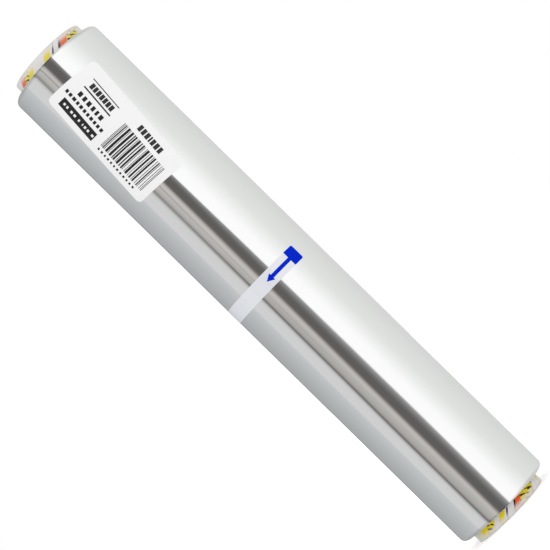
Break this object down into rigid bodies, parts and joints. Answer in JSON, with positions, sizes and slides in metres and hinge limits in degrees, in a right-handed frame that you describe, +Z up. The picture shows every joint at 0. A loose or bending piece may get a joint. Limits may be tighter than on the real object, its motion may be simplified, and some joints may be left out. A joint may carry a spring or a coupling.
{
  "type": "aluminium foil roll",
  "caption": "Roll of household aluminium foil wound on a printed paperboard core that stands proud at both ends, held shut by a tape with a pull tab and carrying a paper label.",
  "frame": {"origin": "middle of the ring on which the roll stands, at the lower end of the core", "axes": "+Z up along the roll's axis, towards the end that carries the label; -Y towards the side that carries the label and the tape's tab"},
  "size_m": [0.0512, 0.0511, 0.3],
  "materials": {
    "core_paperboard": "matt printed paper",
    "foil": "bright rolled foil",
    "tape_film": "satin film with printed tab and arrow",
    "label_paper": "smooth white label paper, printed black"
  },
  "bodies": {
    "root": {"core_tube": "core_paperboard", "foil_winding": "foil", "opening_tape": "tape_film", "paper_label": "label_paper"}
  },
  "joints": []
}
